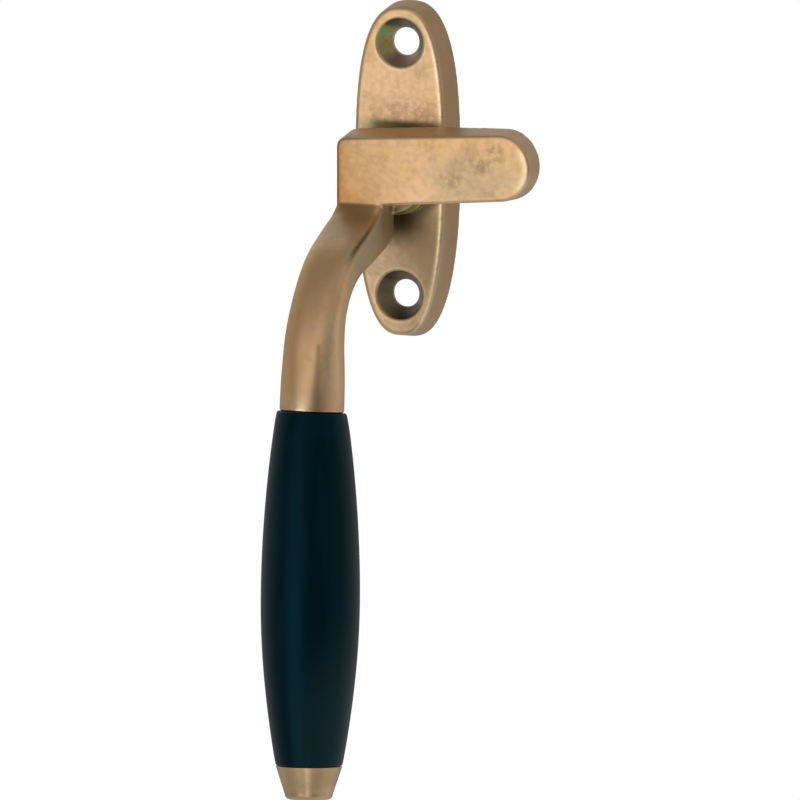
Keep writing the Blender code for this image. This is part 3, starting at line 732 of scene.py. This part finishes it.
def build_stop_pin(material):
    low = BOSS_TOP - STOP_SINK
    high = BOSS_TOP + GAP + WASHER_THICKNESS + STOP_RISE
    chamfer = 0.12 * MM
    pin = turned_bar([(STOP_RADIUS - chamfer, low), (STOP_RADIUS, low + chamfer),
                      (STOP_RADIUS, high - chamfer), (STOP_RADIUS - chamfer, high)], COARSE)
    pin.transform(Matrix.Translation(stop_place()))
    finish_piece(make_object("stop_pin_steel", pin), "plate", "stop_pin", material,
                 radians(30.0))


def build_thrust_washer(material):
    low = BOSS_TOP + GAP
    high = low + WASHER_THICKNESS
    profile = washer_profile(PIN_RADIUS + GAP, WASHER_RADIUS, low, high, 0.15 * MM)
    washer = make_object("thrust_washer_zinc", lathe(profile, FINE))
    hole = turned_bar([(STOP_RADIUS + GAP, low - MM), (STOP_RADIUS + GAP, high + MM)], COARSE)
    hole.transform(Matrix.Translation(stop_place()))
    combine(washer, "DIFFERENCE", [make_object("stop_pass", hole)])
    finish_piece(washer, "plate", "thrust_washer", material, radians(30.0))


def build_wave_washer(material):
    (low, high), _, _ = rear_stack()
    half = WAVE_THICKNESS / 2
    profile = washer_profile(PIN_RADIUS + GAP, FLANGE_RADIUS - GAP, -half, half, 0.08 * MM, 2)
    build = lathe(profile, FINE)
    for vertex in build.verts:
        angle = atan2(vertex.co.y, vertex.co.x)
        vertex.co.z += (low + high) / 2 + WAVE_HEIGHT * cos(WAVE_COUNT * angle)
    finish_piece(make_object("wave_washer_steel", build), "plate", "wave_washer",
                 material)


def build_rear_washer(material):
    _, (low, high), _ = rear_stack()
    profile = washer_profile(PIN_RADIUS + GAP, REAR_WASHER_RADIUS, low, high, 0.12 * MM)
    piece = make_object("rear_washer_zinc", lathe(profile, FINE))
    finish_piece(piece, "lever", "rear_washer", material)


def build_retaining_ring(material):
    """Open snap ring."""
    _, _, (low, high) = rear_stack()
    inner = PIN_RADIUS - GROOVE_DEPTH + GAP
    outline = arc((0, 0), RING_RADIUS, RING_OPENING / 2, TURN - RING_OPENING / 2, 72)
    outline += arc((0, 0), inner, TURN - RING_OPENING / 2, RING_OPENING / 2, 72)
    piece = make_object("retaining_ring_steel",
                        loft([raise_ring(outline, low), raise_ring(outline, high)]))
    bevel = piece.modifiers.new("edges", "BEVEL")
    bevel.width = 0.08 * MM
    bevel.segments = 2
    bevel.limit_method = "ANGLE"
    bake_modifiers(piece)
    finish_piece(piece, "lever", "retaining_ring", material, radians(40.0))


def build_pivot_pin(material):
    _, _, (ring_low, ring_high) = rear_stack()
    neck = PIN_RADIUS - GROOVE_DEPTH
    side = 0.05 * MM
    chamfer = 0.2 * MM
    profile = [(PIN_RADIUS - chamfer, PIN_END), (PIN_RADIUS, PIN_END + chamfer),
               (PIN_RADIUS, ring_low - side), (neck, ring_low - side), (neck, ring_high + side),
               (PIN_RADIUS, ring_high + side), (PIN_RADIUS, PIN_TOP - chamfer),
               (PIN_RADIUS - chamfer, PIN_TOP)]
    finish_piece(make_object("pivot_pin_steel", turned_bar(profile, FINE)), "lever", "pivot_pin",
                 material, radians(30.0))


# ---------------------------------------------------------------- lever

def head_outline(grow, shift):
    """Head and nose seen face on."""
    circles = [(HEAD_LOW_CORNER + shift, HEAD_LOW_RADIUS + grow),
               (NOSE_CENTRE + shift, NOSE_RADIUS + grow),
               (HEAD_TOP_CORNER + shift, HEAD_TOP_RADIUS + grow)]
    return belt(circles, (8, 48, 12))


def neck_path(distance):
    """Centre (out, up) and fall angle of the neck, at a distance from its root."""
    direction = Vector((cos(NECK_SLOPE), -sin(NECK_SLOPE)))
    if distance <= NECK_ROOT_LENGTH:
        return NECK_BEND_START - direction * (NECK_ROOT_LENGTH - distance), NECK_SLOPE
    centre = NECK_BEND_START - Vector((sin(NECK_SLOPE), cos(NECK_SLOPE))) * NECK_BEND_RADIUS
    slope = NECK_SLOPE + min(distance - NECK_ROOT_LENGTH, NECK_BEND_LENGTH) / NECK_BEND_RADIUS
    place = centre + Vector((sin(slope), cos(slope))) * NECK_BEND_RADIUS
    beyond = max(distance - NECK_ROOT_LENGTH - NECK_BEND_LENGTH, 0.0)
    return place + Vector((cos(slope), -sin(slope))) * beyond, slope


def neck_length():
    """Length of the neck's path, down to where the grip starts."""
    foot, slope = neck_path(NECK_ROOT_LENGTH + NECK_BEND_LENGTH)
    return NECK_ROOT_LENGTH + NECK_BEND_LENGTH + (foot.y - NECK_END_UP) / sin(slope)


# Sections along the neck: share of its length, half width, outer and inner half thickness, and the
# power of the rounded section, which is a circle at 2
NECK_SECTIONS = (
    (0.00, 5.0 * MM, 6.5 * MM, 5.0 * MM, 8.0),
    (0.09, 5.15 * MM, 5.5 * MM, 4.9 * MM, 8.0),
    (0.15, 5.3 * MM, 4.5 * MM, 4.7 * MM, 7.0),
    (0.22, 5.4 * MM, 4.3 * MM, 4.5 * MM, 6.0),
    (0.38, 5.5 * MM, 4.0 * MM, 4.0 * MM, 4.0),
    (0.58, 5.6 * MM, 3.8 * MM, 3.9 * MM, 3.0),
    (0.74, 6.05 * MM, 4.5 * MM, 4.6 * MM, 2.6),
    (0.88, 6.5 * MM, 5.6 * MM, 5.6 * MM, 2.2),
    (1.00, NECK_END_RADIUS, NECK_END_RADIUS, NECK_END_RADIUS, 2.0),
)


def neck_section(share):
    """Section sizes at a share of the neck's length, on a smooth curve through the listed ones."""
    last = len(NECK_SECTIONS) - 1
    index = next((i for i in range(last) if share <= NECK_SECTIONS[i + 1][0]), last - 1)
    low, high = NECK_SECTIONS[index], NECK_SECTIONS[index + 1]
    before, after = NECK_SECTIONS[max(index - 1, 0)], NECK_SECTIONS[min(index + 2, last)]
    span = high[0] - low[0]
    t = (share - low[0]) / span
    sizes = []
    for a, b, before_size, after_size in zip(low[1:], high[1:], before[1:], after[1:]):
        leave = (b - before_size) / (high[0] - before[0]) * span
        arrive = (after_size - a) / (after[0] - low[0]) * span
        sizes.append(a * (2 * t ** 3 - 3 * t ** 2 + 1) + leave * (t ** 3 - 2 * t ** 2 + t)
                     + b * (3 * t ** 2 - 2 * t ** 3) + arrive * (t ** 3 - t ** 2))
    return sizes


def neck_ring(distance, length, steps, shrink=0.0):
    """Section of the neck at a distance from its root."""
    (out, up), slope = neck_path(distance)
    middle = NECK_X + (NECK_END_X - NECK_X) * distance / length
    half_width, outer, inner, power = neck_section(distance / length)
    ring = []
    for i in range(steps):
        angle = TURN * i / steps
        across = signed_power(cos(angle), 2 / power)
        through = signed_power(sin(angle), 2 / power)
        across *= half_width - shrink
        through *= (outer if through > 0 else inner) - shrink
        ring.append((middle + across, up + through * cos(slope), out + through * sin(slope)))
    return ring


def neck_shape():
    """The neck, cut off inside the head at its root and with a rounded rim at the grip."""
    length = neck_length()
    rim = 0.3 * MM
    rim_steps = 4
    stations = 90
    rings = [neck_ring((length - rim) * i / stations, length, FINE) for i in range(stations + 1)]
    root_plane = HEAD_BACK + 0.1 * MM
    rings[0] = [(x, y - (root_plane - z) * tan(NECK_SLOPE), root_plane) for x, y, z in rings[0]]
    for i in range(1, rim_steps + 1):
        turn = pi / 2 * i / rim_steps
        shrink = rim * (1 - cos(turn))
        rings.append(neck_ring(length - rim * (1 - sin(turn)), length, FINE, shrink))
    return loft(rings)


def grip_place():
    """From the grip's own frame, z down the grip from the neck's end, to the upright one."""
    (out, up), _ = neck_path(neck_length())
    direction = Vector((sin(GRIP_LEAN) * cos(GRIP_TILT), -cos(GRIP_LEAN) * cos(GRIP_TILT),
                        sin(GRIP_TILT)))
    turn = Vector((0, 0, 1)).rotation_difference(direction).to_matrix().to_4x4()
    return UPRIGHT @ Matrix.Translation((NECK_END_X, up, out)) @ turn


# Wear, painted highlights and painted shade on the lever, face on, in millimetres
HEAD_LOW_EDGE = ((-1.0, -5.6), (26.0, -3.1))
HEAD_CORNER = Vector((1.2, -6.2))
PALE_BAND = ((1.5, -22.0), (1.2, -42.0))
GLINT_SPOT = Vector((-3.6, -42.9))
CREASE = ((1.7, -7.0), (0.7, -16.5))
STREAK = ((-0.8, -30.8), (-0.1, -44.4))


def lever_wear_and_highlight(x, y, z, normal):
    """Painted highlights, partly wear: a bright crescent, a line and a glint on the head, a glint spot
    above the grip and a pale band down the neck.
    """
    centre = NOSE_CENTRE / MM
    rim = (NOSE_RADIUS - HEAD_EDGE) / MM
    angle = atan2(y - centre.y, x - centre.x)
    from_rim = hypot(x - centre.x, y - centre.y) - rim
    # Crescent on the nose tip, line on the head's lower edge and glint at its corner: painted
    # highlights, partly wear
    crescent = ridge(from_rim + 0.4, 0.75) * fade(angle, -1.15, -0.6) * fade(angle, 1.0, 0.4)
    low_edge, share = from_segment(x, y, *HEAD_LOW_EDGE)
    line = 0.5 * ridge(low_edge, 0.3) * fade(share, 0.0, 0.1)
    corner = ridge(hypot(x - HEAD_CORNER.x, y - HEAD_CORNER.y), 0.9)
    head = max(0.75 * crescent, line, corner) * fade(z, 18.0, 19.2) * fade(normal.z, 0.2, 0.6)
    # Painted glint near the neck's foot, above the grip
    glint = ridge(hypot((x - GLINT_SPOT.x) / 1.2, y - GLINT_SPOT.y), 1.5) * fade(normal.z, 0.4, 0.8)
    from_line, share = from_segment(x, y, *PALE_BAND)
    # Painted pale band down the neck, lightening a dark reflection there
    pale_band = 0.45 * ridge(from_line, 1.8) * fade(share, 0.0, 0.3) * fade(share, 1.0, 0.7)
    return max(head, glint, pale_band * fade(normal.z, 0.2, 0.5))


def lever_painted_shade(x, y, z, normal):
    """Painted shade on a crease down the neck's right front edge, and a painted dark reflection as a
    streak lower down to the grip.
    """
    # Painted shade along the crease
    from_line, share = from_segment(x, y, *CREASE)
    crease = 0.75 * ridge(from_line, 0.4) * fade(share, 1.0, 0.6)
    # Painted dark reflection as a streak down to the grip
    from_line, share = from_segment(x, y, *STREAK)
    streak = 0.5 * ridge(from_line, 0.35 + 0.9 * share) * fade(normal.z, 0.3, 0.7)
    return max(crease * fade(normal.z + normal.y, 0.2, 0.6), streak)


def build_lever(material):
    """Boss, head with the nose, and neck: one casting."""
    rings = [raise_ring(head_outline(HEAD_DRAFT - BACK_EDGE, HEAD_SHIFT), HEAD_BACK),
             raise_ring(head_outline(HEAD_DRAFT, HEAD_SHIFT), HEAD_BACK + BACK_EDGE)]
    for height, inset in edge_levels(HEAD_FRONT, HEAD_EDGE, 6):
        rings.append(raise_ring(head_outline(-inset, Vector((0.0, 0.0))), height))
    lever = make_object("lever_casting", loft(rings))

    boss_low = BOSS_TOP + 2 * GAP + WASHER_THICKNESS
    boss = turned_bar([(LEVER_BOSS_RADIUS, boss_low), (LEVER_BOSS_RADIUS, HEAD_BACK + MM)], FINE)
    combine(lever, "UNION", [make_object("neck", neck_shape()), make_object("lever_boss", boss)])

    slope = atan2(WEDGE_RISE, WEDGE_END - WEDGE_START)
    reach = 40.0 * MM
    half = 15.0 * MM
    below = HEAD_BACK - 5.0 * MM
    ramp = loft([[(WEDGE_START, side * half, HEAD_BACK - 0.01 * MM),
                  (WEDGE_START + reach, side * half, HEAD_BACK + reach * tan(slope)),
                  (WEDGE_START + reach, side * half, below),
                  (WEDGE_START, side * half, below)] for side in (-1, 1)])
    bore = turned_bar([(PIN_RADIUS + GAP, boss_low - MM), (PIN_RADIUS + GAP, PIN_TOP + GAP)], FINE)
    tapped = turned_bar([(STUD_RADIUS + GAP, -STUD_IN_NECK - GAP), (STUD_RADIUS + GAP, MM)],
                        COARSE)
    combine(lever, "DIFFERENCE", [make_object("ramp", ramp), make_object("pin_bore", bore),
                                  make_object("groove", stop_groove(boss_low)),
                                  make_object("tapped", tapped, grip_place())])
    tumble(lever, LEVER_VOXEL, 9)
    # Wear and painted highlights on the lever's points
    paint(lever, "wear_and_highlight", lever_wear_and_highlight)
    # Painted shade and a painted dark reflection on the lever's points
    paint(lever, "painted_shade", lever_painted_shade)
    finish_piece(lever, "lever", "lever_arm", material)


def stop_groove(boss_low):
    """Curved slot that runs over the stop pin and ends the lever's turn on both sides."""
    half = STOP_RADIUS + GAP
    start = STOP_ANGLE
    end = start + STOP_SWEEP
    outline = arc((0, 0), STOP_REACH + half, start, end, 24)
    outline += arc((STOP_REACH * cos(end), STOP_REACH * sin(end)), half, end, end + pi, 12)[1:-1]
    outline += arc((0, 0), STOP_REACH - half, end, start, 24)
    outline += arc((STOP_REACH * cos(start), STOP_REACH * sin(start)), half,
                   start + pi, start + TURN, 12)[1:-1]
    return loft([raise_ring(outline, boss_low - MM), raise_ring(outline, boss_low + STOP_RISE)])


# ---------------------------------------------------------------- grip

def grip_radius(share):
    """Radius of the barrel at a share of the grip's length."""
    if share < GRIP_BELLY:
        swell = sin(pi / 2 * share / GRIP_BELLY) ** GRIP_UPPER_FULLNESS
        return GRIP_TOP_RADIUS + (GRIP_BELLY_RADIUS - GRIP_TOP_RADIUS) * swell
    swell = cos(pi / 2 * (share - GRIP_BELLY) / (1.0 - GRIP_BELLY)) ** GRIP_LOWER_FULLNESS
    return GRIP_END_RADIUS + (GRIP_BELLY_RADIUS - GRIP_END_RADIUS) * swell


def seat_on_neck(build):
    """Slant the grip's top to the neck's end, which the leaning grip meets a little askew."""
    to_upright = grip_place().to_3x3()
    neck_axis = UPRIGHT.to_3x3() @ Vector((0.0, -sin(NECK_END_SLOPE), cos(NECK_END_SLOPE)))
    straight = neck_axis.dot(to_upright @ Vector((0.0, 0.0, 1.0)))
    for vertex in build.verts:
        aside = neck_axis.dot(to_upright @ Vector((vertex.co.x, vertex.co.y, 0.0)))
        vertex.co.z -= aside / straight * fade(vertex.co.z, 5.0 * MM, 0.0)


def build_grip(material):
    inner = STUD_RADIUS + GAP
    top = SEAT
    end = 2 * GAP + GRIP_LENGTH - SEAT
    stations = 110
    shoulder_steps = 6
    profile = [(inner, top)]
    for i in range(shoulder_steps):
        turn = pi / 2 * i / shoulder_steps
        profile.append((GRIP_TOP_RADIUS - GRIP_SHOULDER * (1 - sin(turn)),
                        top + GRIP_SHOULDER * (1 - cos(turn))))
    for i in range(stations + 1):
        height = top + GRIP_SHOULDER + (end - top - 2 * GRIP_SHOULDER) * i / stations
        profile.append((grip_radius(i / stations), height))
    for i in range(1, shoulder_steps + 1):
        turn = pi / 2 * i / shoulder_steps
        profile.append((GRIP_END_RADIUS - GRIP_SHOULDER * (1 - cos(turn)),
                        end - GRIP_SHOULDER * (1 - sin(turn))))
    profile.append((inner, end))
    build = lathe(profile, FINE)
    seat_on_neck(build)
    piece = make_object("grip_ebony", build, grip_place())
    finish_piece(piece, "lever", "ebony_grip", material, radians(40.0))


def build_stud(material):
    """Threaded stud: rolled thread rings all along, plain ends."""
    end = GRIP_LENGTH + 2 * GAP + FERRULE_LENGTH - FERRULE_FLOOR - GAP
    chamfer = 0.4 * MM
    pitch = 1.0 * MM
    depth = 0.35 * MM
    profile = [(STUD_RADIUS - chamfer, -STUD_IN_NECK)]
    height = -STUD_IN_NECK + chamfer
    while height < end - chamfer - pitch:
        profile += [(STUD_RADIUS, height), (STUD_RADIUS - depth, height + pitch / 2)]
        height += pitch
    profile += [(STUD_RADIUS, end - chamfer), (STUD_RADIUS - chamfer, end)]
    piece = make_object("grip_stud_steel", turned_bar(profile, 24), grip_place())
    finish_piece(piece, "lever", "grip_stud", material, radians(20.0))


def build_spring_washer(material):
    low = GRIP_LENGTH + 2 * GAP
    high = low + LOCK_WASHER_THICKNESS
    profile = washer_profile(STUD_RADIUS + GAP, LOCK_WASHER_RADIUS, low, high, 0.12 * MM)
    piece = make_object("spring_washer_steel", lathe(profile, COARSE), grip_place())
    finish_piece(piece, "lever", "grip_spring_washer", material)


def build_ferrule(material):
    top = GRIP_LENGTH + 2 * GAP
    end = top + FERRULE_LENGTH
    inner = STUD_RADIUS + GAP
    recess = LOCK_WASHER_RADIUS + GAP
    recess_end = top + LOCK_WASHER_THICKNESS + GAP
    hole_end = end - FERRULE_FLOOR
    edge = 0.15 * MM
    wall = end - FERRULE_EDGE
    wall_steps = 8
    edge_steps = 6
    profile = [(FERRULE_TOP_RADIUS - edge, top), (FERRULE_TOP_RADIUS, top + edge)]
    for i in range(1, wall_steps + 1):
        share = i / wall_steps
        profile.append((FERRULE_TOP_RADIUS + (FERRULE_END_RADIUS - FERRULE_TOP_RADIUS) * share,
                        top + edge + (wall - top - edge) * share))
    for i in range(1, edge_steps + 1):
        turn = pi / 2 * i / edge_steps
        profile.append((FERRULE_END_RADIUS - FERRULE_EDGE * (1 - cos(turn)),
                        wall + FERRULE_EDGE * sin(turn)))
    profile += [(CENTRE_HOLE, end), (CENTRE_HOLE, hole_end), (inner, hole_end),
                (inner, recess_end), (recess, recess_end), (recess, top)]
    piece = make_object("ferrule_bronze", cap_centre(lathe(profile, FINE)), grip_place())
    finish_piece(piece, "lever", "end_ferrule", material, radians(30.0))


def cap_centre(build):
    """Close the small centre hole of a lathed piece."""
    hole = [face for face in build.faces
            if all(hypot(vertex.co.x, vertex.co.y) < 1.25 * CENTRE_HOLE for vertex in face.verts)]
    bmesh.ops.delete(build, geom=hole, context="FACES")
    edges = [edge for edge in build.edges if edge.is_boundary]
    bmesh.ops.holes_fill(build, edges=edges, sides=0)
    return build


# ---------------------------------------------------------------- stage, light and camera

CAMERA_AZIMUTH = 22.0
CAMERA_ELEVATION = 7.0
CAMERA_DISTANCE = 1.8
CAMERA_AIM = Vector((-2.44, -48.03)) * MM        # beside and below the pivot, in the view
VIEW_WIDTH = 165.6315 * MM                       # what the picture's width covers at the pivot
SENSOR = 36.0
FLOOR_DROP = 0.25
STAGE_RADIUS = 9.0


def toward(azimuth, elevation):
    """Unit vector from the object: azimuth 0 is straight in front of the plate, 90 its right.

    The angles are in degrees.
    """
    a, e = radians(azimuth), radians(elevation)
    return Vector((sin(a) * cos(e), -cos(a) * cos(e), sin(e)))


def build_camera():
    """Long lens, so that the picture is nearly without perspective."""
    camera = bpy.data.objects.new("camera", bpy.data.cameras.new("camera"))
    bpy.context.scene.collection.objects.link(camera)
    back = toward(CAMERA_AZIMUTH, CAMERA_ELEVATION)
    turn = radians(CAMERA_AZIMUTH)
    right = Vector((cos(turn), sin(turn), 0.0))
    up = back.cross(right)
    camera.location = back * CAMERA_DISTANCE
    aim = right * CAMERA_AIM.x + up * CAMERA_AIM.y
    camera.rotation_mode = "QUATERNION"
    camera.rotation_quaternion = (aim - camera.location).to_track_quat("-Z", "Y")
    camera.data.sensor_width = SENSOR
    camera.data.lens = SENSOR * CAMERA_DISTANCE / VIEW_WIDTH
    camera.data.clip_end = 50.0
    bpy.context.scene.camera = camera


# Soft lights of the studio: azimuth, elevation, half angles of the full and of the faded disc, all
# in degrees, and strength
WORLD_LEVEL = 0.21
SOFT_LIGHTS = (
    (-16.0, -5.0, 10.0, 26.0, 1.08),
    (-10.0, 28.0, 8.0, 30.0, 0.36),
    (40.0, 58.0, 20.0, 50.0, 0.16),
    (16.0, -25.0, 3.0, 13.0, 0.95),
    (100.0, -8.0, 15.0, 45.0, 0.18),
    (142.0, -5.0, 15.0, 42.0, 0.20),
    (125.0, 42.0, 15.0, 42.0, 0.24),
    (0.0, -90.0, 40.0, 82.0, 0.36),
    (-157.0, 35.0, 15.0, 45.0, 0.30),
    (-100.0, 15.0, 20.0, 55.0, 0.20),
)
WHITE = 1.0


def build_world():
    """Pale even room light with a few large soft lights in it."""
    world = bpy.data.worlds.new("studio")
    bpy.context.scene.world = world
    world.use_nodes = True
    tree = world.node_tree
    direction = tree.nodes.new("ShaderNodeTexCoord").outputs["Generated"]
    total = None
    for azimuth, elevation, full, faded, strength in SOFT_LIGHTS:
        along = tree.nodes.new("ShaderNodeVectorMath")
        along.operation = "DOT_PRODUCT"
        tree.links.new(direction, along.inputs[0])
        along.inputs[1].default_value = toward(azimuth, elevation)
        glow = tree.nodes.new("ShaderNodeMapRange")
        glow.interpolation_type = "SMOOTHSTEP"
        tree.links.new(along.outputs["Value"], glow.inputs["Value"])
        glow.inputs["From Min"].default_value = cos(radians(faded))
        glow.inputs["From Max"].default_value = cos(radians(full))
        glow.inputs["To Max"].default_value = strength
        added = tree.nodes.new("ShaderNodeMath")
        added.operation = "ADD"
        tree.links.new(glow.outputs["Result"], added.inputs[0])
        if total is None:
            added.inputs[1].default_value = WORLD_LEVEL
        else:
            tree.links.new(total, added.inputs[1])
        total = added.outputs["Value"]
    background = tree.nodes["Background"]
    background.inputs["Color"].default_value = (WHITE, WHITE, WHITE, 1.0)
    tree.links.new(total, background.inputs["Strength"])


def build_stage():
    """Plain white floor and a white dome over it, seen by the camera but adding no light."""
    paper = bpy.data.materials.new("paper_white")
    paper.use_nodes = True
    shader = paper.node_tree.nodes["Principled BSDF"]
    shader.inputs["Base Color"].default_value = (0.0, 0.0, 0.0, 1.0)
    shader.inputs["Specular IOR Level"].default_value = 0.0
    shader.inputs["Emission Color"].default_value = (WHITE, WHITE, WHITE, 1.0)
    shader.inputs["Emission Strength"].default_value = 1.0
    ground = bmesh.new()
    bmesh.ops.create_grid(ground, x_segments=1, y_segments=1, size=STAGE_RADIUS)
    dome = bmesh.new()
    bmesh.ops.create_uvsphere(dome, u_segments=32, v_segments=16, radius=STAGE_RADIUS)
    below = Matrix.Translation((0.0, 0.0, CAD_BOX[0].z - FLOOR_DROP))
    for name, build in (("floor", ground), ("backdrop", dome)):
        sheet = make_object(name, build, below)
        sheet.data.materials.append(paper)
        sheet.visible_diffuse = False
        sheet.visible_glossy = False
        sheet.visible_transmission = False
        sheet.visible_shadow = False


def build_studio():
    bpy.context.scene.view_settings.view_transform = "Standard"
    build_world()
    build_stage()


def build_object():
    plate_bronze = make_bronze("plate_bronze_tumbled", CLEAN, GOLD, PLATE_STAINS_AND_SHADE, PLATE_SOCKETS)
    lever_bronze = make_bronze("lever_bronze_tumbled", CLEAN, GOLD, LEVER_STAINS_AND_SHADE)
    ferrule_bronze = make_bronze("ferrule_bronze_turned", FERRULE_TONE, DULL, polish=FERRULE_POLISH)
    brass = make_metal("bearing_brass_turned", *BRASS)
    zinc = make_metal("zinc_yellow", *YELLOW_ZINC)
    steel = make_metal("pin_steel_ground", *GROUND_STEEL)
    spring = make_metal("spring_steel_oiled", *OILED_STEEL)

    build_plate(plate_bronze)
    build_bushing(brass)
    build_stop_pin(steel)
    build_thrust_washer(zinc)
    build_wave_washer(spring)
    build_rear_washer(zinc)
    build_retaining_ring(spring)
    build_pivot_pin(steel)
    build_lever(lever_bronze)
    build_stud(steel)
    build_grip(make_ebony())
    build_spring_washer(spring)
    build_ferrule(ferrule_bronze)


build_object()
build_studio()
build_camera()
